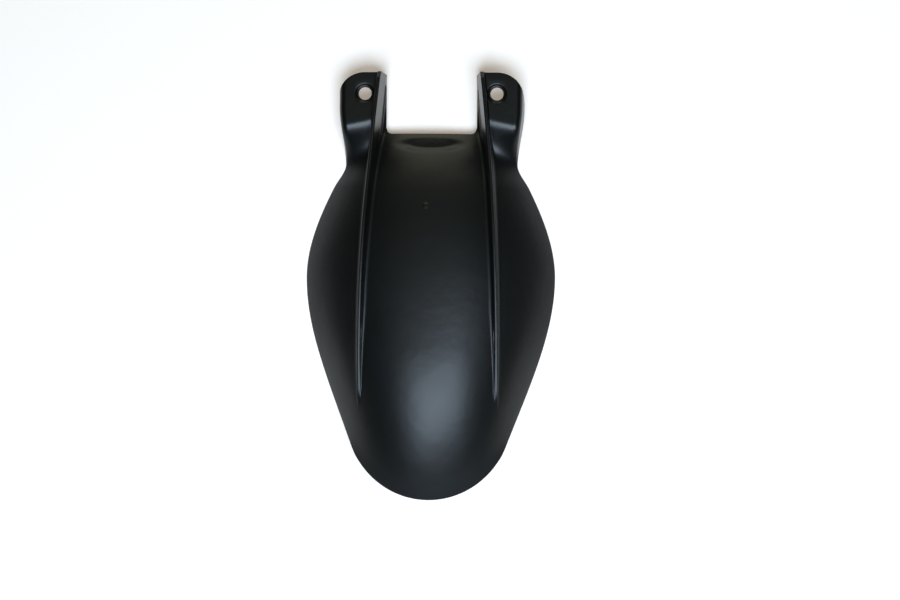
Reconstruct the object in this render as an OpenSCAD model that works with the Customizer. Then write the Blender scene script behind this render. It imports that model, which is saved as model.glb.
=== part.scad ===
// Guard for the swingarm of a motorbike: one thin moulding of black polypropylene.
// A domed shell stands over the tyre, two wings fall away at its sides, and two ears
// carry the bolt holes. A rib runs down each side of the dome from the ear's inner edge.
// The guard lies as it rests on a bench: dome up, ears towards +Y, tip towards -Y.

/* [Outline] */
// Length, from the rounded tip to the tops of the ears
guard_l = 283; // [236:1:340]
// Greatest width, across the wings
guard_w = 168; // [140:1:202]
// Distance from the tops of the ears to the widest place
widest_from_top = 135; // [115:1:160]
// Width at the foot of the flare, where the wings start
flare_w = 132; // [122:1:142]
// Distance from the tops of the ears to the foot of the flare
flare_from_top = 75; // [70:1:82]
// Width at the waist, between the ears and the wings
waist_w = 116; // [109:1:123]
// Distance from the tops of the ears to the waist
waist_from_top = 59; // [54:1:64]
// Radius of the rounded tip
tip_r = 56; // [48:1:66]

/* [Dome] */
// Height of the crown above the surface that the guard lies on
crown_h = 39; // [33:1:47]
// Distance from the tip to the crown
crown_from_tip = 92; // [77:1:110]
// Height of the dome's top edge, between the ears
edge_h = 9; // [8:0.5:10.5]
// Height by which the rim of the tip is lifted
tip_lift = 13; // [8:0.5:16]
// Share of the fall to the sides that comes near the rim
side_roll = 0.25; // [0.1:0.05:0.6]
// Thickness of the moulded wall
wall = 2.5; // [2:0.1:3]

/* [Ears] */
// Width across the two ears
ear_w = 124; // [116:1:132]
// Height of the flat pads
pad_h = 20; // [18:0.5:23]
// Height by which the rim of the ears is lifted at their tops
ear_lift = 7; // [4:0.5:9]
// Radius of the outer corner of an ear
ear_corner_r = 18.5; // [14:0.5:20]
// Radius of the round between a pad and its side wall
shoulder_r = 5; // [3.5:0.5:6]
// Diameter of the bolt holes
hole_d = 8.5; // [6.5:0.1:10.2]
// Distance between the bolt holes
hole_pitch = 87; // [84:0.5:90]
// Distance from the tops of the ears to the bolt holes
hole_from_top = 14; // [12:0.5:16]
// Diameter of the dished seat round a bolt hole
seat_d = 13.4; // [12:0.2:14.4]
// Depth of the dished seat
seat_t = 1.2; // [0.6:0.1:1.5]

/* [Notch] */
// Width of the notch between the ears
notch_w = 60.5; // [56:0.5:62]
// Depth of the notch, from the tops of the ears
notch_l = 39; // [36:1:44]
// Radius of the corners of the notch
notch_r = 4; // [2:0.5:6]

/* [Ribs] */
// Thickness of a rib at its top
rib_w = 2.5; // [2:0.1:3]
// Distance between the ribs at their lower ends
rib_low_pitch = 90; // [84:1:94]
// Distance between the ribs at the tops of the ears
rib_top_pitch = 67; // [66:0.5:70]
// Distance from the tip to the lower ends of the ribs
rib_from_tip = 64; // [56:1:74]
// Height by which a rib stands above the dome beside the waist
rib_h = 14; // [11:0.5:17]
// Height by which a rib stands above the pad of its ear
rib_above_pad = 7; // [5:0.5:9]
// Height by which a rib's top falls again at its upper end
rib_end_drop = 2.5; // [0:0.5:4]
// Draft of a rib's inner face, in degrees
rib_draft = 9; // [6:0.5:11]
// Radius of the fillet at the inner foot of a rib
rib_fillet = 6; // [3:0.5:7]

/* [Dimple] */
// Length of the oval dimple in the dome's top edge
dimple_l = 34; // [26:1:40]
// Width of the dimple
dimple_w = 10; // [8:0.5:13]
// Depth of the dimple
dimple_t = 2; // [0.8:0.1:2.2]
// Distance from the notch to the middle of the dimple
dimple_from_notch = 7; // [6:0.5:9]

/* [Hidden] */
$fn = 96;

top_y = guard_l / 2;
tip_y = -guard_l / 2;
widest_y = top_y - widest_from_top;
flare_y = top_y - flare_from_top;
waist_y = top_y - waist_from_top;
notch_y = top_y - notch_l;
crown_y = tip_y + crown_from_tip;
rib_end_y = tip_y + rib_from_tip;
ear_y = top_y - ear_corner_r - 4;
hole_y = top_y - hole_from_top;
dimple_y = notch_y - dimple_from_notch;
rib_top_h = pad_h + rib_above_pad;

// slopes of the outline, as half-width over length, where its stretches meet
tip_slope = 0.38;
flare_slope = -0.5;
// angle that the last arc of the grid covers on each side of the tip
tip_half_angle = 60;
tip_centre_y = tip_y + tip_r;
tip_row_y = tip_centre_y - tip_r * cos(tip_half_angle);
tip_row_w = tip_r * sin(tip_half_angle);
tangent_y = tip_centre_y - tip_r * sin(atan(tip_slope));
tangent_w = tip_r * cos(atan(tip_slope));
// share of the dome's fall to its top edge that is spread evenly
even_fall = 0.33;
// how far the strip beside each ear's wall drops past the notch's edge
lip_drop = 2.5;
lip_run = 4;
// the neck: its foot and its head slant outwards across the ear
neck_foot_slant = 0.62;
neck_head_slant = 0.27;
neck_head_y = top_y - 27;
// thickness of the wall measured level at the rim
rim_t = wall * 1.12;
foot_gap = 0.4;
side_draft_run = 1.4;
// how steeply the rim rises at the tip and at the ears, and where the ears' rise starts
tip_lift_power = 1.6;
ear_lift_power = 1.5;
ear_lift_ahead = 6;
// how softly the dimple's sides meet the dome
dimple_power = 1.2;
// length over which the grid's rows straighten, past the crown
bow_run = 60;
// how late the ribs close in on each other, and how evenly they grow
rib_close_power = 2.2;
rib_growth_power = 1.25;
// the climb of a rib's top to the level of its ear, about the waist
rib_climb_ahead = 42;
rib_climb_run = 72;
// length over which a rib's top falls at its upper end
rib_drop_run = 5;
// how far inside the ribs' lower ends the neck's slanting foot crosses the waist
neck_foot_in = 6;
// the rounded edges of a rib, and the parts of its stand that they and its feet may take
rib_chamfer = 0.6;
chamfer_share = 0.3;
fillet_share = 0.7;
foot_share = 0.4;
rib_flat = rib_w / 4;
// radius of a rib's outer foot, on the wing and on the ear
outer_foot = 2;
ear_foot = 0.8;
// the channel behind an ear's inner wall: how much the wall thins, and where its roof starts
channel_thin = 0.6;
channel_out = 0.2;
// angle of the shoulder's arc
shoulder_turn = 82;
// the grid's spacing on the wing: the columns stand a little closer at the rim
wing_power = 0.9;
// the seat: the difference between its rim and its floor, and the step above its rim
seat_slope = 1.8;
seat_clear = 0.6;
boss_rim = 0.5;
boss_sink = 0.6;
// how far the cutters run past the solid
past = 5;

function mix(a, b, s) = a + (b - a) * s;
function clamp01(s) = min(1, max(0, s));
function smooth(s) = let (c = clamp01(s)) c * c * (3 - 2 * c);
// cubic through two stations [y, value, slope]
function bend(a, b, y) =
    let (l = b[0] - a[0], s = (y - a[0]) / l)
    (1 + 2 * s) * (1 - s) * (1 - s) * a[1] + s * (1 - s) * (1 - s) * l * a[2]
    + s * s * (3 - 2 * s) * b[1] - s * s * (1 - s) * l * b[2];

// half the guard's width at y
station_tangent = [tangent_y, tangent_w, tip_slope];
station_widest = [widest_y, guard_w / 2, 0];
station_flare = [flare_y, flare_w / 2, flare_slope];
station_waist = [waist_y, waist_w / 2, 0];
station_ear = [ear_y, ear_w / 2, 0];
function half_w(y) =
    y < tangent_y ? sqrt(tip_r * tip_r - pow(y - tip_centre_y, 2)) :
    y < widest_y ? bend(station_tangent, station_widest, y) :
    y < flare_y ? bend(station_widest, station_flare, y) :
    y < waist_y ? bend(station_flare, station_waist, y) :
    y < ear_y ? bend(station_waist, station_ear, y) : ear_w / 2;

// height of the rim: level along the wings, lifted at the tip and at the ears
ear_lift_y = notch_y - ear_lift_ahead;
function rim_h(y) =
    tip_lift * pow(clamp01((crown_y - y) / crown_from_tip), tip_lift_power)
    + ear_lift * pow(clamp01((y - ear_lift_y) / (top_y - ear_lift_y)), ear_lift_power);

// height of the dome along its middle line
function crown_line(y) =
    let (s = max(0, (y - crown_y) / (notch_y - crown_y)), fall = crown_h - edge_h)
    y < notch_y
        ? crown_h - fall * (even_fall * s * s + (1 - even_fall) * pow(s, 4))
        : edge_h - lip_drop * (1 - exp(-(y - notch_y) / lip_run));

// depth of the dimple at a place of the dome
function dimple(x, y) =
    let (across = 2 * x / dimple_l, along = 2 * (y - dimple_y) / dimple_w)
    dimple_t * pow(clamp01(1 - across * across - along * along), dimple_power);

// how much a row of the grid follows the rounded tip, from 1 at the tip to 0
function row_bow(row_y) = pow(clamp01((crown_y + bow_run - row_y) / (crown_y + bow_run - tip_row_y)), 2);
// cosine of the tip's arc at a share u of its width
function bow_cos(u) = sqrt(1 - pow(sin(tip_half_angle) * u, 2));
// how far the last row runs past its ends there
function bow_shape(u) = tip_r * (bow_cos(u) - cos(tip_half_angle));

// point of the domed shell's skin, at x on the row that meets the rim at row_y;
// inset is 0 for the outer skin and 1 for the inner one
function skin(x, row_y, inset) =
    let (w = half_w(row_y) - inset * rim_t,
         u = clamp01(x / w),
         bow = row_bow(row_y),
         y = row_y - bow * bow_shape(u) + inset * rim_t * bow * bow_cos(u),
         mid_y = row_y - bow * bow_shape(0),
         q = clamp01((mid_y - tip_y) / crown_from_tip),
         cover = (1 - u * u) * (1 - (1 - q) * (1 - q)),
         roll = side_roll * q,
         rise = (1 + roll) * cover - roll * cover * cover,
         base = rim_h(y))
    [x, y, base + (crown_line(y) - base - inset * wall - dimple(x, y)) * rise];

// distance of a rib's middle from the guard's, at y
function rib_x(y) =
    let (s = (y - rib_end_y) / (top_y - rib_end_y))
    y < rib_end_y
        ? rib_low_pitch / 2 * half_w(max(y, tip_row_y)) / half_w(rib_end_y)
        : mix(rib_low_pitch, rib_top_pitch, pow(s, rib_close_power)) / 2;

// height of a rib above the dome, growing from its lower end towards the waist
function rib_stand(y) =
    rib_h * pow(clamp01((y - rib_end_y) / (waist_y - rib_end_y)), rib_growth_power);

// how far a rib's top has left the dome for the ear's level, at y
function rib_share(y) = smooth((y - waist_y + rib_climb_ahead) / rib_climb_run);

// level of a rib's top on its ear, with the fall at its end
function rib_level(y) = rib_top_h - rib_end_drop * clamp01((y - top_y + rib_drop_run) / rib_drop_run);

// height of a rib's top at x on a row: level across, and on the dome where the rib has run out
function rib_top(x, row_y) =
    let (own = skin(x, row_y, 0),
         middle = skin(rib_x(row_y), row_y, 0)[2],
         stand = rib_stand(own[1]))
    mix(mix(own[2], middle, clamp01(stand)) + stand, rib_level(own[1]), rib_share(own[1]));

// 0 on the wing and 1 on the ear, at x and y
function neck(x, y) =
    let (foot = waist_y - neck_foot_slant * (x - rib_low_pitch / 2 + neck_foot_in),
         head = neck_head_y - neck_head_slant * (x - rib_top_pitch / 2))
    smooth((y - foot) / (head - foot));

// the grid's columns over half the guard: dome, rib, wing and shoulder
DOME_N = 6;
RIB_N = 9;
WING_N = 7;
SHOULDER_N = 4;
FOOT = DOME_N;
RIM = DOME_N + RIB_N + WING_N + SHOULDER_N;
rib_foot = DOME_N + RIB_N;
wing_end = rib_foot + WING_N;

// x of a column on the wing, with the rest of the way to the rim shared out evenly
function wing_x(j, foot_x, w) = mix(foot_x, w, pow((j - rib_foot) / (RIM - rib_foot), wing_power));

// point of an ear's section on the pad, its round shoulder and its side wall
function ear_point(j, foot_x, w, y, inset) =
    let (r = shoulder_r - inset * wall,
         edge_x = w - side_draft_run - r,
         z = pad_h - inset * wall,
         turn = shoulder_turn * (j - wing_end + 1) / SHOULDER_N)
    j < wing_end ? [mix(foot_x, edge_x, (j - rib_foot) / (WING_N - 1)), y, z] :
    j < RIM ? [edge_x + r * sin(turn), y, z - r * (1 - cos(turn))] :
    [w, y, rim_h(y)];

// point of a rib's top at x, lowered by a drop
function rib_top_point(x, row_y, drop) = [x, skin(x, row_y, 0)[1], rib_top(x, row_y) - drop];

// the feet of a rib's inner face, [x of the face's foot, x of the fillet's foot, fillet]
function rib_feet(row_y) =
    let (in_x = rib_x(row_y) - rib_w / 2,
         stand = rib_top(in_x, row_y) - skin(in_x, row_y, 0)[2],
         fillet = min(rib_fillet, stand * fillet_share),
         side_x = in_x - max(foot_gap, (stand - fillet) * tan(rib_draft)))
    [side_x, side_x - max(foot_gap, fillet), fillet];

// vertex of the outer skin
function outer_point(j, row_y) =
    let (w = half_w(row_y),
         rx = rib_x(row_y),
         in_x = rx - rib_w / 2,
         out_x = rx + rib_w / 2,
         feet = rib_feet(row_y),
         stand = rib_top(rx, row_y) - skin(rx, row_y, 0)[2],
         fillet_in = feet[2] * (1 - cos(45)),
         chamfer = min(rib_chamfer, stand * chamfer_share),
         round_out = min(mix(outer_foot, ear_foot, neck(out_x, row_y)), stand * foot_share),
         round_in = round_out * (1 - cos(45)),
         out_foot_x = out_x + foot_gap + round_out)
    j <= FOOT ? skin(feet[1] * j / FOOT, row_y, 0) :
    j == FOOT + 1 ? skin(feet[0] - fillet_in, row_y, 0) + [0, 0, fillet_in] :
    j == FOOT + 2 ? skin(feet[0], row_y, 0) + [0, 0, feet[2]] :
    j == FOOT + 3 ? rib_top_point(in_x, row_y, chamfer) :
    j == FOOT + 4 ? rib_top_point(in_x + rib_flat, row_y, 0) :
    j == FOOT + 5 ? rib_top_point(out_x - rib_flat, row_y, 0) :
    j == FOOT + 6 ? rib_top_point(out_x, row_y, chamfer) :
    j == FOOT + 7 ? outer_base(out_x + foot_gap / 2, row_y, round_out) :
    j == FOOT + 8 ? outer_base(out_x + foot_gap + round_in, row_y, round_in) :
    let (x = wing_x(j, out_foot_x, w),
         wing = skin(x, row_y, 0),
         ear = ear_point(j, out_foot_x, w, wing[1], 0))
    mix(wing, ear, neck(x, wing[1]));

// point at a height above the outer surface beside a rib, on the wing or on the pad
function outer_base(x, row_y, rise) =
    let (wing = skin(x, row_y, 0))
    mix(wing, [x, wing[1], pad_h], neck(x, wing[1])) + [0, 0, rise];

// vertex of the inner skin: it passes straight under a rib, and up behind the wall of an ear
function inner_point(j, row_y) =
    let (w = half_w(row_y) - rim_t,
         rx = rib_x(row_y),
         ry = skin(rx, row_y, 0)[1],
         feet = rib_feet(row_y),
         out_x = rx + rib_w / 2,
         end_x = out_x + foot_gap + outer_foot,
         x = mix(feet[1], end_x, (j - FOOT) / RIB_N),
         bottom_x = feet[0] + rib_w - channel_thin,
         bottom = [bottom_x, ry, skin(bottom_x, row_y, 1)[2]],
         channel_top = [out_x + channel_out, ry, pad_h - wall],
         channel_end = [end_x, ry, pad_h - wall],
         channel = j == FOOT ? skin(feet[1], row_y, 1) :
             j <= FOOT + 7 ? mix(bottom, channel_top, (j - FOOT - 1) / 6) :
             mix(channel_top, channel_end, (j - FOOT - 7) / 2),
         wx = wing_x(j, end_x, w),
         wing = skin(wx, row_y, 1),
         ear = ear_point(j, end_x, w, wing[1], 1))
    j < FOOT ? skin(feet[1] * j / FOOT, row_y, 1) :
    j < rib_foot ? mix(skin(x, row_y, 1), channel, neck(rx, ry)) :
    mix(wing, ear, neck(wx, wing[1]));

// the rows, given by where each meets the rim; they stand closest about the neck
tip_rows_end = tip_row_y + 30;
body_rows_end = flare_y - 14;
neck_rows_end = neck_head_y + 6;
TIP_ROWS = 6;
BODY_ROWS = 16;
NECK_ROWS = 20;
EAR_ROWS = 4;
tip_rows_power = 1.2;
function rows() = [
    for (i = [0:TIP_ROWS - 1]) mix(tip_row_y, tip_rows_end, pow(i / TIP_ROWS, tip_rows_power)),
    for (i = [0:BODY_ROWS - 1]) mix(tip_rows_end, body_rows_end, i / BODY_ROWS),
    for (i = [0:NECK_ROWS - 1]) mix(body_rows_end, neck_rows_end, i / NECK_ROWS),
    for (i = [0:EAR_ROWS]) mix(neck_rows_end, top_y, i / EAR_ROWS)
];

// the closed shell: outer skin, inner skin and the strips that join them at the edges
module shell() {
    ys = rows();
    n = len(ys);
    m = 2 * RIM + 1;
    function side(p, c) = [c < 0 ? -p[0] : p[0], p[1], p[2]];
    points = concat(
        [for (y = ys) for (c = [-RIM:RIM]) side(outer_point(abs(c), y), c)],
        [for (y = ys) for (c = [-RIM:RIM]) side(inner_point(abs(c), y), c)]);
    function at(skin_n, r, c) = skin_n * n * m + r * m + c;
    faces = concat(
        [for (r = [0:n - 2]) for (c = [0:m - 2]) for (t = [0, 1])
            t == 0 ? [at(0, r, c), at(0, r + 1, c), at(0, r + 1, c + 1)]
                   : [at(0, r, c), at(0, r + 1, c + 1), at(0, r, c + 1)]],
        [for (r = [0:n - 2]) for (c = [0:m - 2]) for (t = [0, 1])
            t == 0 ? [at(1, r, c), at(1, r + 1, c + 1), at(1, r + 1, c)]
                   : [at(1, r, c), at(1, r, c + 1), at(1, r + 1, c + 1)]],
        [for (r = [0:n - 2]) for (t = [0, 1])
            t == 0 ? [at(0, r, 0), at(1, r, 0), at(1, r + 1, 0)]
                   : [at(0, r, 0), at(1, r + 1, 0), at(0, r + 1, 0)]],
        [for (r = [0:n - 2]) for (t = [0, 1])
            t == 0 ? [at(0, r, m - 1), at(1, r + 1, m - 1), at(1, r, m - 1)]
                   : [at(0, r, m - 1), at(0, r + 1, m - 1), at(1, r + 1, m - 1)]],
        [for (c = [0:m - 2]) for (t = [0, 1])
            t == 0 ? [at(0, 0, c), at(1, 0, c + 1), at(1, 0, c)]
                   : [at(0, 0, c), at(0, 0, c + 1), at(1, 0, c + 1)]],
        [for (c = [0:m - 2]) for (t = [0, 1])
            t == 0 ? [at(0, n - 1, c), at(1, n - 1, c), at(1, n - 1, c + 1)]
                   : [at(0, n - 1, c), at(1, n - 1, c + 1), at(0, n - 1, c + 1)]]);
    polyhedron(points, faces);
}

// the notch between the ears, with rounded corners
module notch() {
    inner = notch_w / 2 - notch_r;
    translate([0, 0, -past])
        linear_extrude(rib_top_h + 2 * past) {
            translate([-notch_w / 2, notch_y + notch_r])
                square([notch_w, notch_l + past]);
            translate([-inner, notch_y])
                square([2 * inner, notch_l]);
            for (side = [-1, 1])
                translate([side * inner, notch_y + notch_r])
                    circle(notch_r);
        }
}

// what is taken off outside the round corner of the right ear
module ear_corner() {
    translate([ear_w / 2 - ear_corner_r, top_y - ear_corner_r, -past])
        linear_extrude(rib_top_h + 2 * past)
            difference() {
                square(ear_corner_r + past);
                circle(ear_corner_r);
            }
}

// the dished seat round a bolt hole: a flat floor, a sloping side and the space above
module seat() {
    translate([0, 0, pad_h - seat_t])
        cylinder(h = seat_t, r1 = seat_d / 2 - seat_slope, r2 = seat_d / 2);
    translate([0, 0, pad_h])
        cylinder(h = seat_clear, d = seat_d);
}

// the thickening under a seat that keeps the wall's thickness
module seat_boss() {
    translate([0, 0, pad_h - wall - seat_t])
        cylinder(h = seat_t + boss_sink, r = seat_d / 2 + boss_rim);
}

// the whole guard: the shell with its bosses, less the notch, the corners, seats and holes
module guard() {
    color("#1b1c1e")
        difference() {
            union() {
                shell();
                for (side = [-1, 1])
                    translate([side * hole_pitch / 2, hole_y, 0])
                        seat_boss();
            }
            notch();
            for (side = [0, 1])
                mirror([side, 0, 0]) {
                    ear_corner();
                    translate([hole_pitch / 2, hole_y, 0]) {
                        seat();
                        translate([0, 0, -past])
                            cylinder(h = rib_top_h + past, d = hole_d);
                    }
                }
        }
}

guard();
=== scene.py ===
"""A swingarm guard: one satin black moulding, seen from above on a pale table."""
import math

import bpy
import numpy as np
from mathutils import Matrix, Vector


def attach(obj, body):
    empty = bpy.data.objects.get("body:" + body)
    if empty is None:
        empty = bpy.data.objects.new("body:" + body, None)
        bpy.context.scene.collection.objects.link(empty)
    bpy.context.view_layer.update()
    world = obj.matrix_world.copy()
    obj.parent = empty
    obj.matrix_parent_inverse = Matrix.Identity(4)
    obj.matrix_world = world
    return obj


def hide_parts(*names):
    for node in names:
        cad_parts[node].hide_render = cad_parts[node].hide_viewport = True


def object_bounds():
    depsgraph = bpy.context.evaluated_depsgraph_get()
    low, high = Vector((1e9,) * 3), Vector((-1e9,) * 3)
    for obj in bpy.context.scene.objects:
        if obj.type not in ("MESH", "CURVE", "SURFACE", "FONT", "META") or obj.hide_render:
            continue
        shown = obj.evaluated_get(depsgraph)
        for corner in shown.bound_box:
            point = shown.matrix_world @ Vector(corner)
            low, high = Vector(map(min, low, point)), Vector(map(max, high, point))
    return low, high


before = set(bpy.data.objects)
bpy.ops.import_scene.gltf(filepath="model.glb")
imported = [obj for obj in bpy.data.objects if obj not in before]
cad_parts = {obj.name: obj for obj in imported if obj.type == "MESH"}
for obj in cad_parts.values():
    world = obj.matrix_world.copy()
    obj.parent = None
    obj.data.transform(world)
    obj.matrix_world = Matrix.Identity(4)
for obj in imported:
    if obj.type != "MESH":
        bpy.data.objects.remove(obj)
cad_low, cad_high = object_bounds()

# The table and the room.
# A white table top under a cool window and the weak warm light of a room. What camera and
# glossy rays see of it glows a little, and far from the guard the camera sees plain white.
TABLE_SIZE = 6.0
TABLE_WHITE = (0.92, 0.86, 0.80, 1.0)
GLOW_TINT = (1.0, 0.84, 0.74, 1.0)
GLOW_LIGHT = 0.26
PLAIN_WHITE = (1.0, 1.0, 1.0, 1.0)
FADE_FROM, FADE_TO = 0.5, 1.5
ROOM_TINT = (0.90, 1.0, 0.94, 1.0)
ROOM_LIGHT = 0.015


class Socket:
    """A node's output that Python's operators combine with numbers or other outputs."""

    def __init__(self, tree, out):
        self.tree = tree
        self.out = out

    def node(self, kind, settings=(), out=0, **inputs):
        """Adds a node of a kind, sets its settings, then its inputs, and gives one output.
        An input goes by its name, or by i and its number."""
        made = self.tree.nodes.new(kind)
        for name, value in dict(settings).items():
            setattr(made, name, value)
        for name, value in inputs.items():
            numbered = name[0] == "i" and name[1:].isdigit()
            key = int(name[1:]) if numbered else name.replace("_", " ")
            if isinstance(value, Socket):
                self.tree.links.new(value.out, made.inputs[key])
            else:
                made.inputs[key].default_value = value
        return Socket(self.tree, made.outputs[out] if made.outputs else None)

    def maths(self, operation, *values):
        """A Math node of one operation on the values, in their order."""
        named = {f"i{i}": value for i, value in enumerate(values)}
        return self.node("ShaderNodeMath", {"operation": operation}, **named)

    def __add__(self, other):
        return self.maths("ADD", self, other)

    def __mul__(self, other):
        return self.maths("MULTIPLY", self, other)

    __rmul__ = __mul__

    def __sub__(self, other):
        return self.maths("SUBTRACT", self, other)

    def __rsub__(self, other):
        return self.maths("SUBTRACT", other, self)

    def step(self, low, high):
        """0 below low, 1 above high and a smooth ramp between them."""
        return self.node("ShaderNodeMapRange", {"interpolation_type": "SMOOTHSTEP"},
                         i0=self, i1=low, i2=high)


def new_material(name):
    """An empty node material, and a handle that adds nodes to it."""
    material = bpy.data.materials.new(name)
    material.use_nodes = True
    material.node_tree.nodes.clear()
    return material, Socket(material.node_tree, None)


table_material, table_nodes = new_material("table_white")
path = table_nodes.tree.nodes.new("ShaderNodeLightPath").outputs
seen = Socket(table_nodes.tree, path["Is Camera Ray"])
mirrored = Socket(table_nodes.tree, path["Is Glossy Ray"])
passed = Socket(table_nodes.tree, path["Is Transmission Ray"])
shown = seen + mirrored + passed
white_share = shown.maths("MINIMUM", shown, 1.0)
plain = table_nodes.node("ShaderNodeBsdfDiffuse", Color=TABLE_WHITE)
glow = table_nodes.node("ShaderNodeEmission", Color=GLOW_TINT, Strength=GLOW_LIGHT)
lit = table_nodes.node("ShaderNodeAddShader", i0=plain, i1=glow)
table_top = table_nodes.node("ShaderNodeMixShader", Fac=white_share, i1=plain, i2=lit)
on_table = table_nodes.node("ShaderNodeTexCoord", out=3)
from_middle = table_nodes.node(
    "ShaderNodeVectorMath", {"operation": "LENGTH"}, out=1, i0=on_table)
far_share = seen * from_middle.step(FADE_FROM, FADE_TO)
haze = table_nodes.node("ShaderNodeEmission", Color=PLAIN_WHITE, Strength=1.0)
fading = table_nodes.node("ShaderNodeMixShader", Fac=far_share, i1=table_top, i2=haze)
table_nodes.node("ShaderNodeOutputMaterial", Surface=fading)

half_table = TABLE_SIZE / 2
table_mesh = bpy.data.meshes.new("table")
table_mesh.from_pydata(
    [(-half_table, -half_table, 0), (half_table, -half_table, 0),
     (half_table, half_table, 0), (-half_table, half_table, 0)], [], [(0, 1, 2, 3)])
table_mesh.materials.append(table_material)
table = bpy.data.objects.new("table", table_mesh)
bpy.context.scene.collection.objects.link(table)

world = bpy.data.worlds.new("room")
bpy.context.scene.world = world
world.use_nodes = True
world.node_tree.nodes.clear()
room = Socket(world.node_tree, None)
beyond_table = room.node("ShaderNodeLightPath", out=0)
dim = room.node("ShaderNodeBackground", Color=ROOM_TINT, Strength=ROOM_LIGHT)
white = room.node("ShaderNodeBackground", Color=PLAIN_WHITE, Strength=1.0)
walls = room.node("ShaderNodeMixShader", Fac=beyond_table, i1=dim, i2=white)
room.node("ShaderNodeOutputWorld", Surface=walls)


def lamp(name, place, target, size, power, tint):
    """A lamp of a width and a height at a place, turned to its target."""
    light = bpy.data.lights.new(name, "AREA")
    light.shape = "RECTANGLE"
    light.size, light.size_y = size
    light.energy = power
    light.color = tint
    made = bpy.data.objects.new(name, light)
    made.location = place
    back = np.subtract(place, target)
    heading = math.atan2(back[0], -back[1])
    lean = math.acos(back[2] / np.linalg.norm(back))
    made.rotation_euler = (lean, 0.0, heading)
    bpy.context.scene.collection.objects.link(made)


lamp("window", (0.15, -0.58, 1.22), (0.0, -0.06, 0.03), (1.08, 0.72), 26.5, (0.68, 0.83, 1.0))
lamp("ceiling", (0.0, 0.1, 1.6), (0.0, 0.0, 0.0), (1.5, 1.5), 1.4, (1.0, 0.98, 0.74))
lamp("doorway", (0.0, 1.35, 0.50), (0.0, 0.05, 0.0), (1.1, 0.9), 5.2, (1.0, 1.0, 0.78))

# The camera.
# It looks down from 0.9 m, 5 cm to the right of the guard's middle and tilted 2 degrees
# towards it, so that the guard stands left of the picture's middle with its ears on top.
CAMERA_LENS = 53.6
CAMERA_PLACE = (0.0496, -0.0073, 0.900)
CAMERA_TURN = np.radians((-0.04, 2.31, 0.61))
camera_data = bpy.data.cameras.new("camera")
camera_data.lens = CAMERA_LENS
camera = bpy.data.objects.new("camera", camera_data)
camera.location = CAMERA_PLACE
camera.rotation_euler = CAMERA_TURN
bpy.context.scene.collection.objects.link(camera)
bpy.context.scene.camera = camera

# The guard.
# One injection moulding in satin black polypropylene, 2.5 mm thick, which two bolts through
# its ears hold to the swingarm. Its sizes are millimetres in the frame of the CAD model, and
# a few of its curves are drawn closer to the photo than the CAD has them.
MM = 0.001

# the outline from above
guard_l = (cad_high[1] - cad_low[1]) / MM
guard_w = (cad_high[0] - cad_low[0]) / MM
top_y = guard_l / 2
tip_y = -guard_l / 2
widest_y = top_y - 135.0
flare_y = top_y - 75.0
waist_y = top_y - 59.0
notch_y = top_y - 39.0
flare_w = 132.0
waist_w = 116.0
flare_slope = -0.5
tip_r = 56.0
tip_slope = 0.38
tip_half_angle = math.radians(60.0)
tip_centre_y = tip_y + tip_r
tip_row_y = tip_centre_y - tip_r * math.cos(tip_half_angle)
tip_row_w = tip_r * math.sin(tip_half_angle)
tangent_angle = math.atan(tip_slope)
tangent_y = tip_centre_y - tip_r * math.sin(tangent_angle)
tangent_w = tip_r * math.cos(tangent_angle)

# the dome and its wings
crown_h = cad_high[2] / MM
crown_from_tip = 92.0
crown_y = tip_y + crown_from_tip
past_crown = 14.0
cover_power = 2.35  # how squarely the dome ends at the tip
side_roll = 0.25  # how much fuller than a parabola the sides are, and the tip below
tip_roll = 0.30
edge_h = 9.0
even_fall = 0.33
lip_drop = 2.5
lip_run = 4.0
tip_lift = 13.0
tip_lift_power = 1.6
ear_lift = 7.0
ear_lift_power = 1.5
ear_lift_lead = 6.0
wall = 2.5
rim_t = wall * 1.12  # the wall measured level with the ground at the sloping rim

# the necks, the ears and the notch
notch_w = 60.5
notch_r = 4.0
ear_w = 124.0
ear_corner_r = 18.5
ear_y = top_y - ear_corner_r - 4.0
pad_h = 20.0
shoulder_r = 5.0
shoulder_angle = math.radians(82.0)
ear_wall_lean = 1.4
neck_foot_y = waist_y + 3.0
neck_foot_slant = 0.25
neck_head_y = top_y - 28.5
neck_head_slant = 0.27

# the ribs
rib_w = 2.5
rib_low_pitch = 90.0
rib_top_pitch = 67.0
rib_curve = 2.2
rib_end_y = tip_y + 64.0
rib_point_l = 8.0
rib_point_share = 0.01
rib_h = 14.0
rib_rise_power = 1.25
rib_end_h = 0.8
rib_end_share = 0.06
rib_top_h = pad_h + 7.0
rib_level_y = waist_y - 42.0
rib_level_run = 72.0
rib_end_drop = 2.5
rib_drop_run = 5.0
rib_draft = math.radians(9.0)
rib_fillet = 3.0
rib_edge_share = 0.85
rib_back_fillet = 2.0
ear_back_fillet = 0.8
foot_gap = 0.4
neck_foot_x = rib_low_pitch / 2 - 6.0

# the dimple, the bolt holes and their seats
dimple_l = 34.0
dimple_w = 10.0
dimple_t = 2.0
dimple_y = notch_y - 7.0
dimple_narrow = 1.75
dimple_edge, dimple_blend = 1.35, 0.7
dimple_middle, dimple_tilt = 0.5, 0.63
hole_r = 4.25
hole_x = 43.5
hole_y = top_y - 14.0
seat_r = 6.7
seat_floor_r = 5.0
seat_t = 1.2


def mix(a, b, share):
    """The value that lies a share of the way from a to b."""
    return a + (b - a) * share


def smooth(s):
    """0 below 0, 1 above 1, and 3 s squared less 2 s cubed between."""
    c = np.clip(s, 0.0, 1.0)
    return c * c * (3.0 - 2.0 * c)


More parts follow.
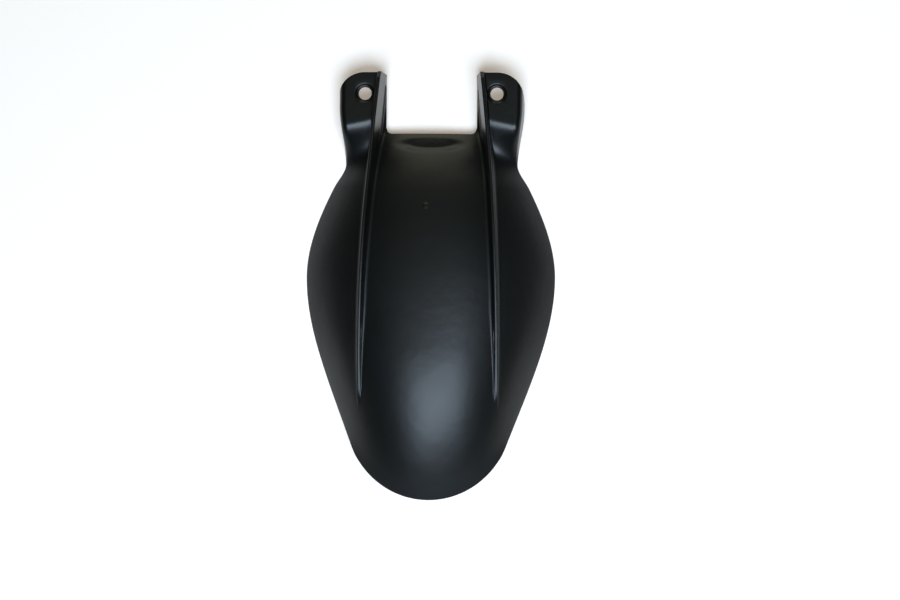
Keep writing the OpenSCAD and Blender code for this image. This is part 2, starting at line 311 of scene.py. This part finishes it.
def bend(a, b, y):
    """The cubic that passes through two stations (y, value, slope) with their slopes."""
    length = b[0] - a[0]
    s = (y - a[0]) / length
    return ((1 + 2 * s) * (1 - s) ** 2 * a[1] + s * (1 - s) ** 2 * length * a[2]
            + s * s * (3 - 2 * s) * b[1] - s * s * (1 - s) * length * b[2])


STATIONS = [(tangent_y, tangent_w, tip_slope), (widest_y, guard_w / 2, 0.0),
            (flare_y, flare_w / 2, flare_slope), (waist_y, waist_w / 2, 0.0),
            (ear_y, ear_w / 2, 0.0)]


def half_width(y):
    """Half the guard's width: the tip's circle, then cubics from station to station."""
    y = np.asarray(y, float)
    circle = np.sqrt(np.maximum(tip_r ** 2 - (y - tip_centre_y) ** 2, 0.0))
    inside = [y < tangent_y] + [y < b[0] for b in STATIONS[1:]]
    values = [circle] + [bend(a, b, y) for a, b in zip(STATIONS, STATIONS[1:])]
    return np.select(inside, values, ear_w / 2)


def rim_height(y):
    """Height of the rim: level along the wings, lifted towards the tip and the ears' tops."""
    tip = np.clip((crown_y - y) / crown_from_tip, 0.0, 1.0) ** tip_lift_power
    ear_from = notch_y - ear_lift_lead
    ear = np.clip((y - ear_from) / (top_y - ear_from), 0.0, 1.0) ** ear_lift_power
    return tip_lift * tip + ear_lift * ear


def crown_line(y):
    """Height of the dome's middle line. It falls by a square and a fourth power of the way
    from the crown to the notch, and a little more past it, where only the ears go on."""
    s = np.maximum(0.0, (y - crown_y) / (notch_y - crown_y))
    dome = crown_h - (crown_h - edge_h) * (even_fall * s ** 2 + (1 - even_fall) * s ** 4)
    lip = edge_h - lip_drop * (1 - np.exp(-np.maximum(y - notch_y, 0.0) / lip_run))
    return np.where(y < notch_y, dome, lip)


def dimple(x, y):
    """Depth of the oval dimple: deepest on its side towards the crown and slightly raised
    on its side towards the notch, so that its floor lies flatter than the dome."""
    ahead = 2 * (y - dimple_y) / dimple_w
    out = np.hypot(dimple_narrow * x / dimple_l, ahead)
    inside = smooth((dimple_edge - out) / dimple_blend)
    return dimple_t * inside * (dimple_middle - dimple_tilt * ahead)


BOW_END_Y = crown_y + 60.0
NOTCH_ZONE = 10.0
EAR_ZONE = 6.0


def row_line(x, row_y, u):
    """y on a row of the grid at x: the row bows round the tip, and its last stretches
    before the notch and the ears' tops are squeezed to end on those outlines."""
    share = np.clip((row_y - tip_row_y) / (BOW_END_Y - tip_row_y), 0.0, 1.0)
    bow = (1 - share) ** 2
    arc = np.sqrt(tip_r ** 2 - (tip_row_w * u) ** 2) - tip_r * math.cos(tip_half_angle)
    y = row_y - bow * arc
    corner_x = notch_w / 2 - notch_r
    notch_end = notch_y + notch_r - np.sqrt(
        notch_r ** 2 - np.clip(x - corner_x, 0.0, notch_r) ** 2)
    notch_from = notch_y - NOTCH_ZONE
    before = (row_y > notch_from) & (row_y <= notch_y + notch_r + 1e-6) & (x < notch_w / 2)
    squeezed = notch_from + (row_y - notch_from) * (notch_end - notch_from) / (
        notch_y + notch_r - notch_from)
    y = np.where(before, squeezed, y)
    ear_x = ear_w / 2 - ear_corner_r
    ear_end = top_y - ear_corner_r + np.sqrt(np.clip(
        ear_corner_r ** 2 - np.maximum(x - ear_x, 0.0) ** 2, 0.0, None))
    ear_from = top_y - ear_corner_r - EAR_ZONE
    late = ear_from + (row_y - ear_from) * (ear_end - ear_from) / (top_y - ear_from)
    return np.where(row_y > ear_from, late, y), bow


def skin(x, row_y, inset=0.0):
    """The domed shell, y and height. Its rise over the rim is (1 + roll) c - roll c squared,
    where c is one less the squared share of the way to the rim, times one less a power of
    the way to the tip. An inset of 0 gives the outer skin, and of 1 the inner."""
    w = half_width(row_y) - inset * rim_t
    u = np.clip(x / w, 0.0, 1.0)
    y, bow = row_line(x, row_y, u)
    y = y + inset * rim_t * bow * np.sqrt(1 - (math.sin(tip_half_angle) * u) ** 2)
    mid_y = row_y - bow * (tip_r - tip_r * math.cos(tip_half_angle))
    q = np.clip((mid_y - tip_y) / crown_from_tip, 0.0, 1.0)
    run = np.clip((crown_y + past_crown - mid_y) / (crown_from_tip + past_crown), 0.0, 1.0)
    cover = (1 - u * u) * (1 - run ** cover_power)
    roll = mix(tip_roll, side_roll, q)
    base = rim_height(y)
    over = crown_line(y) - base - inset * wall - dimple(x, y)
    return y, base + over * ((1 + roll) * cover - roll * cover ** 2)


def rib_middle(y):
    """Distance of a rib's middle line from the guard's: it closes in towards the ears by a
    power of the way along the rib, and below the rib's end it keeps its share of the width."""
    s = np.clip((y - rib_end_y) / (top_y - rib_end_y), 0.0, None)
    above = mix(rib_low_pitch, rib_top_pitch, s ** rib_curve) / 2
    below = rib_low_pitch / 2 * half_width(np.maximum(y, tip_row_y)) / half_width(rib_end_y)
    return np.where(y < rib_end_y, below, above)


def rib_half(row_y):
    """Half a rib's width: over the rib's lowest stretch a square root of the way along it."""
    return rib_w / 2 * np.sqrt(np.clip((row_y - rib_end_y) / rib_point_l, rib_point_share, 1.0))


def rib_top(x, row_y):
    """Height of a rib's top: the dome and the rib's own stand, then the ear's level."""
    y, own = skin(x, row_y)
    middle = skin(rib_middle(row_y), row_y)[1]
    share = np.clip((y - rib_end_y) / (waist_y - rib_end_y), 0.0, 1.0)
    start = rib_end_h * smooth(share / rib_end_share) * (1 - share)
    stand = rib_h * share ** rib_rise_power + start
    low = mix(own, middle, np.clip(stand, 0.0, 1.0)) + stand
    fall = rib_end_drop * np.clip((y - top_y + rib_drop_run) / rib_drop_run, 0.0, 1.0)
    return mix(low, rib_top_h - fall, smooth((y - rib_level_y) / rib_level_run))


def neck(x, y):
    """0 on the wing and 1 on the ear: a smooth step between two slanting lines."""
    foot = neck_foot_y - neck_foot_slant * (x - neck_foot_x)
    head = neck_head_y - neck_head_slant * (x - rib_top_pitch / 2)
    return smooth((y - foot) / (head - foot))


def seat_drop(x, y):
    """Depth of the dished seat: a smooth step inwards from its rim to its floor."""
    r = np.hypot(x - hole_x, y - hole_y)
    return seat_t * smooth((seat_r - r) / (seat_r - seat_floor_r))


def beside_rib(x, row_y):
    """The outer surface beside a rib: the wing, or the pad of the ear."""
    y, wing = skin(x, row_y)
    return y, mix(wing, pad_h - seat_drop(x, y), neck(x, y))


WING_SPREAD = 0.9
PAD_END, ARC_END = 6 / 11, 10 / 11


def wing_or_ear(g, foot_x, row_y, inset):
    """The stretch from a rib's outer foot to the rim, at a share g of the way: on the wing
    it is the shell, and on the ear a flat pad, a round shoulder and a side wall."""
    w = half_width(row_y) - inset * rim_t
    x_wing = mix(foot_x, w, g ** WING_SPREAD)
    y, z_wing = skin(x_wing, row_y, inset)
    r = shoulder_r - inset * wall
    edge_x = w - ear_wall_lean - r
    turn = shoulder_angle * np.clip((g - PAD_END) / (ARC_END - PAD_END), 0.0, 1.0)
    wall_share = np.clip((g - ARC_END) / (1 - ARC_END), 0.0, 1.0)
    x_ear = mix(foot_x, edge_x, np.clip(g / PAD_END, 0.0, 1.0)) + r * np.sin(turn)
    x_ear = mix(x_ear, w, wall_share)
    z_ear = pad_h - inset * wall - r * (1 - np.cos(turn))
    z_ear = mix(z_ear, rim_height(y), wall_share) - seat_drop(x_ear, y) * (turn == 0)
    share = neck(x_wing, y)
    x = mix(x_wing, x_ear, share)
    y = skin(x, row_y, inset)[0]
    return x, y, mix(z_wing, z_ear, share)


DOME_N = 26
FILLET_N = 10
FACE_N = 4
ROUND_N = 5
FOOT_N = 4
WING_N = 36
FILLET_LIMIT = 0.7
FILLET_REACH = 0.985
EDGE_LIMIT = 0.6
FOOT_LIMIT = 0.4


def rib_feet(row_y):
    """x of the foot of a rib's inner face, x of its fillet's foot, the fillet's radius and
    how far the rib stands over the dome."""
    in_x = rib_middle(row_y) - rib_half(row_y)
    stand = rib_top(in_x, row_y) - skin(in_x, row_y)[1]
    fillet = np.minimum(rib_fillet, stand * FILLET_LIMIT)
    side_x = in_x - np.maximum(foot_gap, (stand - fillet) * math.tan(rib_draft))
    return side_x, side_x - np.maximum(foot_gap, fillet), fillet, stand


def outer_half(row_y):
    """The outer skin over half the guard: dome, fillet, the rib's face, top and back, wing."""
    in_x = rib_middle(row_y) - rib_half(row_y)
    out_x = rib_middle(row_y) + rib_half(row_y)
    side_x, foot_x, fillet, stand = rib_feet(row_y)
    side_at_notch = rib_feet(np.array([[notch_y + notch_r]]))[0]
    gate_x = notch_w / 2 * side_x / side_at_notch
    gate_x = np.where(row_y > notch_y + notch_r, notch_w / 2, gate_x)
    a = np.linspace(0.0, 1.0, DOME_N + 1)[:-1]
    b = np.sin(np.linspace(0.0, 1.0, FILLET_N + 1) * math.pi / 2)
    x = np.concatenate([gate_x * a, mix(gate_x, side_x, b)], axis=1)
    y, z = skin(x, row_y)
    into = np.clip(x - foot_x, 0.0, fillet * FILLET_REACH)
    z = z + fillet - np.sqrt(np.maximum(fillet ** 2 - into ** 2, 0.0))
    parts = [np.stack([x, y, z], -1)]
    edge = rib_half(row_y) * rib_edge_share
    edge_z = np.minimum(edge, stand * EDGE_LIMIT)
    f = np.linspace(0.0, 1.0, FACE_N + 1)[1:]
    x = mix(side_x, in_x, f)
    y = skin(x, row_y)[0]
    z = mix(z[:, -1:], rib_top(in_x, row_y) - edge_z, f)
    parts.append(np.stack([x, y, z], -1))
    turn = np.linspace(0.0, math.pi / 2, ROUND_N + 1)[1:]
    for x, t in ((in_x + edge * (1 - np.cos(turn)), turn),
                 (out_x - edge * (1 - np.cos(turn[::-1])), turn[::-1])):
        z = rib_top(x, row_y) - edge_z * (1 - np.sin(t))
        parts.append(np.stack([x, skin(x, row_y)[0], z], -1))
    foot = mix(rib_back_fillet, ear_back_fillet, neck(out_x, row_y))
    foot_z = np.minimum(foot, stand * FOOT_LIMIT)
    base_x = out_x + foot_gap / 2
    base = beside_rib(base_x, row_y)[1]
    f = np.linspace(0.0, 1.0, FACE_N + 1)[:-1]
    x = mix(out_x, base_x, f)
    z = mix(rib_top(out_x, row_y) - edge_z, base + foot_z, f)
    parts.append(np.stack([x, skin(x, row_y)[0], z], -1))
    f = np.linspace(0.0, 1.0, FOOT_N + 1)[:-1]
    turn = f * math.pi / 2
    x = base_x + foot * (1 - np.cos(turn)) + foot_gap / 2 * f
    y, base = beside_rib(x, row_y)
    parts.append(np.stack([x, y, base + foot_z * (1 - np.sin(turn))], -1))
    g = np.linspace(0.0, 1.0, WING_N + 1)
    x, y, z = wing_or_ear(g, out_x + foot_gap + foot, row_y, 0.0)
    parts.append(np.stack([x, y, z], -1))
    return np.concatenate(parts, axis=1), gate_x


UNDER_RIB = 1.52
UNDER_GATE = 0.6
UNDER_BACK = 1.2
CHANNEL_GAP = 0.2
CHANNEL_RUN = 3.0
CLIMB_RATE = 1.3
CLIMB_SOFTNESS = 0.3


def inner_half(row_y, gate_x):
    """The inner skin over half the guard: straight under the rib, or up the ear's channel."""
    out_x = rib_middle(row_y) + rib_half(row_y)
    side_x = rib_feet(row_y)[0]
    bottom_x = np.maximum(side_x + UNDER_RIB * rib_half(row_y), gate_x + UNDER_GATE)
    end_x = out_x + foot_gap + rib_back_fillet
    a = np.linspace(0.0, 1.0, DOME_N + 1)[:-1]
    b = np.linspace(0.0, 1.0, FILLET_N + 1)
    x = np.concatenate([gate_x * a, mix(gate_x, bottom_x, b)], axis=1)
    y, z = skin(x, row_y, 1.0)
    parts = [np.stack([x, y, z], -1)]
    climb_n = 2 * FACE_N + 2 * ROUND_N
    share = neck(rib_middle(row_y), row_y)
    c = np.linspace(0.0, 1.0, climb_n + 1)[1:]
    x_low = mix(bottom_x, end_x - UNDER_BACK, c)
    y, z_low = skin(x_low, row_y, 1.0)
    climb = np.clip(c * CLIMB_RATE, 0.0, 1.0)
    onward = np.clip(c * CLIMB_RATE - 1, 0.0, 1.0) * CHANNEL_RUN
    x_up = mix(bottom_x, out_x + CHANNEL_GAP, climb) + onward
    z_up = mix(z[:, -1:], pad_h - wall, mix(climb, smooth(climb), CLIMB_SOFTNESS))
    parts.append(np.stack([mix(x_low, x_up, share), y, mix(z_low, z_up, share)], -1))
    f = np.linspace(0.0, 1.0, FOOT_N + 2)[1:-1]
    last = parts[-1][:, -1:]
    g = np.linspace(0.0, 1.0, WING_N + 1)
    x, y, z = wing_or_ear(g, end_x, row_y, 1.0)
    wing = np.stack([x, y, z], -1)
    parts.append(mix(last, wing[:, :1], f[None, :, None]))
    parts.append(wing)
    return np.concatenate(parts, axis=1)


def mirrored_grid(half):
    """Both halves of a skin from its right half, whose first column is the middle."""
    left = half[:, :0:-1] * np.array([-1.0, 1.0, 1.0])
    return np.concatenate([left, half], axis=1)


TIP_ROWS = 18
BODY_ROWS = 65
NECK_ROWS = 46
EAR_ROWS = 36
body_from = tip_row_y + 24.0
neck_from = waist_y - 22.0
ear_from = notch_y + notch_r
rows_tip = mix(tip_row_y, body_from, np.linspace(0.0, 1.0, TIP_ROWS + 1)[:-1] ** 1.2)
rows_body = np.linspace(body_from, neck_from, BODY_ROWS + 1)[:-1]
rows_neck = np.linspace(neck_from, ear_from, NECK_ROWS + 1)[:-1]
rows_ear = np.linspace(ear_from, top_y, EAR_ROWS + 1)
row_y = np.concatenate([rows_tip, rows_body, rows_neck, rows_ear])[:, None]
notch_row = TIP_ROWS + BODY_ROWS + NECK_ROWS
outer, gate_x = outer_half(row_y)
inner = inner_half(row_y, gate_x)
outer = mirrored_grid(outer)
inner = mirrored_grid(inner)
row_n, column_n = outer.shape[:2]
middle = column_n // 2

index = np.arange(row_n * column_n).reshape(row_n, column_n)
keep = np.ones((row_n - 1, column_n - 1), bool)
keep[notch_row:, middle - DOME_N:middle + DOME_N] = False


HOLE_BLOCK = 7.6
RING_RADII = (seat_r + 0.1, 6.4, 6.1, 5.75, 5.4, 5.1, 4.8, 4.5, hole_r)
RING_GAP = 0.15


def hole_block(side):
    """Rows and columns of the grid's cells that a bolt hole and its seat take up."""
    columns = np.arange(WING_N + 1) + (column_n - WING_N - 1) * (side > 0)
    y = outer[:, columns[WING_N // 2], 1]
    rows = np.nonzero((y > hole_y - HOLE_BLOCK) & (y < hole_y + HOLE_BLOCK))[0]
    columns = columns[outer[rows[len(rows) // 2], columns, 0] * side < hole_x + HOLE_BLOCK]
    return rows[0], rows[-1], columns[0], columns[-1]


outer_points = [outer.reshape(-1, 3)]
inner_points = [inner.reshape(-1, 3)]
faces = []
point_n = row_n * column_n
hole_rings = []
for side in (-1, 1):
    r0, r1, c0, c1 = hole_block(side)
    keep[r0:r1, c0:c1] = False
    ring = np.concatenate([index[r0, c0:c1], index[r0:r1, c1],
                           index[r1, c1:c0:-1], index[r1:r0:-1, c0]])
    centre = np.array([side * hole_x, hole_y])
    from_hole = outer.reshape(-1, 3)[ring, :2] - centre
    reach = np.hypot(from_hole[:, 0], from_hole[:, 1])
    angle = np.arctan2(from_hole[:, 1], from_hole[:, 0])
    previous = ring
    for radius in RING_RADII:
        r = radius * np.minimum(1.0, reach / (radius + RING_GAP))
        x = centre[0] + r * np.cos(angle)
        y = centre[1] + r * np.sin(angle)
        z = pad_h - seat_drop(np.abs(x), y)
        outer_points.append(np.stack([x, y, z], -1))
        inner_points.append(np.stack([x, y, z - wall], -1))
        current = point_n + np.arange(len(ring))
        point_n += len(ring)
        following, after = np.roll(previous, -1), np.roll(current, -1)
        faces.append(np.stack([previous, following, after, current], -1))
        previous = current
    hole_rings.append(previous)

faces.append(np.stack([index[:-1, :-1][keep], index[:-1, 1:][keep],
                       index[1:, 1:][keep], index[1:, :-1][keep]], -1))
faces = np.concatenate(faces)
outer_points = np.concatenate(outer_points)
inner_points = np.concatenate(inner_points)

# the rim: a rounded edge from the outer skin to the inner one, along every open edge.
# Both skins draw in by what the rounding adds, and their points nearby follow in part.
EDGE_ROUND = 0.45
HOLE_EDGE_ROUND = 0.2
CORNER_LIMIT = 0.5
RIM_N = 6
RIM_FULLNESS = 0.6
FOLLOW_ROUNDS = 16
FOLLOW_SHARE = 0.9
edges = np.concatenate([faces[:, [i, (i + 1) % 4]] for i in range(4)])
code = edges[:, 0] * point_n + edges[:, 1]
is_open = ~np.isin(code, edges[:, 1] * point_n + edges[:, 0])
open_edges = edges[is_open]
rim_points = np.unique(open_edges)
quad_middle = np.tile((outer_points + inner_points)[faces].mean(axis=1), (4, 1)) / 2
both = (outer_points + inner_points) / 2
step = outer_points[open_edges[:, 1]] - outer_points[open_edges[:, 0]]
step /= np.linalg.norm(step, axis=1, keepdims=True)
away = both[open_edges].mean(axis=1) - quad_middle[is_open]
away -= step * (away * step).sum(axis=1, keepdims=True)
away /= np.linalg.norm(away, axis=1, keepdims=True)
outward = np.zeros((point_n, 3))
np.add.at(outward, open_edges[:, 0], away)
np.add.at(outward, open_edges[:, 1], away)
outward = outward[rim_points] / 2
outward /= np.maximum((outward ** 2).sum(axis=1, keepdims=True), CORNER_LIMIT)
rounding = np.full((len(rim_points), 1), EDGE_ROUND)
rounding[np.isin(rim_points, np.concatenate(hole_rings))] = HOLE_EDGE_ROUND
shift = np.zeros((point_n, 3))
shift[rim_points] = -outward * rounding
neighbours = np.maximum(np.bincount(edges[:, 0], minlength=point_n), 1)[:, None]
for _ in range(FOLLOW_ROUNDS):
    spread = np.zeros((point_n, 3))
    np.add.at(spread, edges[:, 0], shift[edges[:, 1]])
    shift = spread / neighbours * FOLLOW_SHARE
    shift[rim_points] = -outward * rounding
outer_points += shift
inner_points += shift
turn = np.linspace(0.0, math.pi, RIM_N + 1)[1:-1]
rim_strip = [
    mix(outer_points[rim_points], inner_points[rim_points], (1 - math.cos(t)) / 2)
    + outward * rounding * math.sin(t) ** RIM_FULLNESS for t in turn]
place = np.full(point_n, -1)
place[rim_points] = np.arange(len(rim_points))
levels = ([open_edges] + [place[open_edges] + 2 * point_n + k * len(rim_points)
                          for k in range(RIM_N - 1)] + [open_edges + point_n])
rim_faces = [np.stack([b[:, 0], b[:, 1], a[:, 1], a[:, 0]], -1)
             for a, b in zip(levels, levels[1:])]

points = np.concatenate([outer_points, inner_points] + rim_strip) * MM
quads = np.concatenate([faces, faces[:, ::-1] + point_n] + rim_faces)
used, quads = np.unique(quads, return_inverse=True)
points = points[used]
quads = quads.reshape(-1, 4)

guard_mesh = bpy.data.meshes.new("guard_shell")
guard_mesh.from_pydata(points.tolist(), [], quads.tolist())
guard_mesh.polygons.foreach_set("use_smooth", np.ones(len(quads), bool))
guard_mesh.update()

# far_out marks the lower parts of the wings and the tip, where the skin is a little duller
FAR_OUT_FROM, FAR_OUT_RUN = 0.45, 0.45
FAR_OUT_Y, FAR_OUT_Y_RUN = 25.0, 50.0
point_y, point_z = points[:, 1] / MM, points[:, 2] / MM
rim_z = rim_height(point_y)
fallen = 1 - (point_z - rim_z) / (crown_line(point_y) - rim_z)
far_out = smooth((fallen - FAR_OUT_FROM) / FAR_OUT_RUN)
far_out *= smooth((FAR_OUT_Y - point_y) / FAR_OUT_Y_RUN)
guard_mesh.attributes.new("far_out", "FLOAT", "POINT").data.foreach_set("value", far_out)
guard = bpy.data.objects.new("guard_shell", guard_mesh)
bpy.context.scene.collection.objects.link(guard)

# the plastic: black, with a fine grain and faint waves from the mould. It is a little
# glossier on the ears and in the dimple, and a small pip stands on the front of the dome.
BLACK = (0.0034, 0.0036, 0.0032, 1.0)
SPECULAR_LEVEL = 0.36
ROUGHNESS = 0.39
GRAIN_SCALE, WAVE_SCALE, CLOUD_SCALE = 2600.0, 95.0, 38.0
GRAIN_HEIGHT, WAVE_HEIGHT, PIP_HEIGHT = 0.000007, 0.00016, 0.00034
PIP_PLACE = (-0.002, 0.053, 0.0303)
PIP_TOP_R, PIP_FOOT_R = 0.0006, 0.0027
EAR_GLOSS_FROM, EAR_GLOSS_TO = 0.070, 0.100
guard_material, plastic = new_material("satin_black_polypropylene")
place_on = plastic.node("ShaderNodeTexCoord", out=3)
grain = plastic.node("ShaderNodeTexNoise", Vector=place_on, Scale=GRAIN_SCALE, Detail=2.0)
wave = plastic.node("ShaderNodeTexNoise", Vector=place_on, Scale=WAVE_SCALE, Detail=2.0)
cloud = plastic.node("ShaderNodeTexNoise", Vector=place_on, Scale=CLOUD_SCALE, Detail=3.0)
across = plastic.node("ShaderNodeSeparateXYZ", out=0, Vector=place_on)
along = plastic.node("ShaderNodeSeparateXYZ", out=1, Vector=place_on)
ear_share = along.step(EAR_GLOSS_FROM, EAR_GLOSS_TO)
lower_share = plastic.node("ShaderNodeAttribute", {"attribute_name": "far_out"}, out=2)
beside = across * (2 / (dimple_l * MM))
ahead = (along - dimple_y * MM) * (2 / (dimple_w * MM))
dimple_share = 1.0 - (beside * beside + ahead * ahead).step(0.8, 1.2)
roughness = (ROUGHNESS - 0.08 * ear_share + 0.08 * lower_share - 0.04 * dimple_share
             + 0.05 * (cloud - 0.5))
from_pip = plastic.node("ShaderNodeVectorMath", {"operation": "DISTANCE"}, out=1,
                        i0=place_on, i1=PIP_PLACE)
pip = 1.0 - from_pip.step(PIP_TOP_R, PIP_FOOT_R)
relief = GRAIN_HEIGHT * grain + WAVE_HEIGHT * wave + PIP_HEIGHT * pip
bump = plastic.node("ShaderNodeBump", Height=relief, Strength=1.0, Distance=1.0)
surface = plastic.node("ShaderNodeBsdfPrincipled", Base_Color=BLACK, Roughness=roughness,
                       Specular_IOR_Level=SPECULAR_LEVEL, Normal=bump)
plastic.node("ShaderNodeOutputMaterial", Surface=surface)
guard_mesh.materials.append(guard_material)
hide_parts("guard")
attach(guard, "root")

bpy.context.scene.view_settings.view_transform = "Standard"
